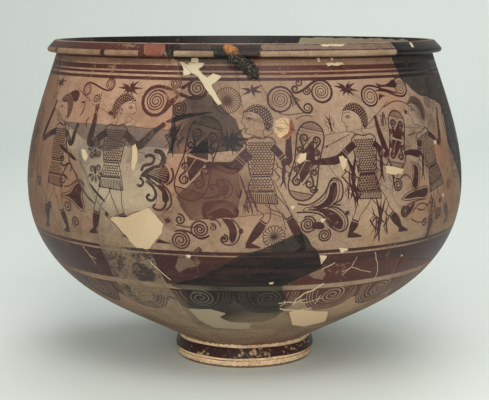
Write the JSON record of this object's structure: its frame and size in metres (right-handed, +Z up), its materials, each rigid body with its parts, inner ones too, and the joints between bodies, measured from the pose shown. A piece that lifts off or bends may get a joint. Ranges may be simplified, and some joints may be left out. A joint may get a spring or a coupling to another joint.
{
  "type": "greek krater",
  "caption": "Large open painted clay krater, a mixing bowl with a wide mouth, sloping lip, rounded body and low ring foot, mended with plaster.",
  "frame": {"origin": "centre of the foot's underside, on the turning axis", "axes": "+Z up along the turning axis, the painted front faces -Y, +X to the right of someone who looks at that front"},
  "size_m": [0.5046, 0.5046, 0.372],
  "materials": {
    "fired_clay": "orange buff fired clay with dark purplish brown slip, satin and worn",
    "corroded_iron": "knobbly black and rust orange corrosion, matt",
    "plaster": "smooth cream plaster, matt"
  },
  "bodies": {
    "root": {"krater": "fired_clay", "iron_lump": "corroded_iron", "plaster_fill_frieze": "plaster", "plaster_fill_neck": "plaster", "plaster_fill_lower_left": "plaster", "plaster_fill_lower_right": "plaster", "plaster_fill_right": "plaster", "plaster_fill_shield": "plaster", "plaster_fill_arm": "plaster", "plaster_fill_left": "plaster"}
  },
  "joints": []
}
